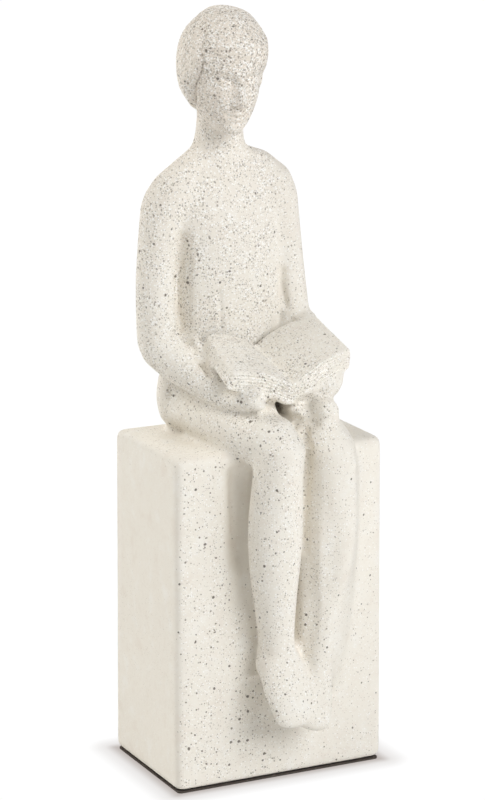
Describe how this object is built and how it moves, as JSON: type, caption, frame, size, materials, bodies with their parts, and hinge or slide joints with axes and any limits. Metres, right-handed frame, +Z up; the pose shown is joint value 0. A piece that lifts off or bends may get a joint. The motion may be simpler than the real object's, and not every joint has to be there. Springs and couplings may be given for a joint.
{
  "type": "seated reading figure sculpture",
  "caption": "Cast sculpture of a seated figure bowed over an open book, on a tall rectangular block with a thin soft base pad.",
  "frame": {"origin": "on the surface it stands on, under the middle of the block: the centre of the base pad's underside", "axes": "+Z up; the figure looks along -Y, towards the front of the block; +X is to the figure's left"},
  "size_m": [0.105, 0.0951, 0.3492],
  "materials": {
    "speckled_casting": "matt cast resin and stone powder, ivory with grey-brown mineral specks",
    "dark_felt": "dark brown-black felt sheet"
  },
  "bodies": {
    "root": {"sculpture": "speckled_casting", "base_pad": "dark_felt"}
  },
  "joints": []
}
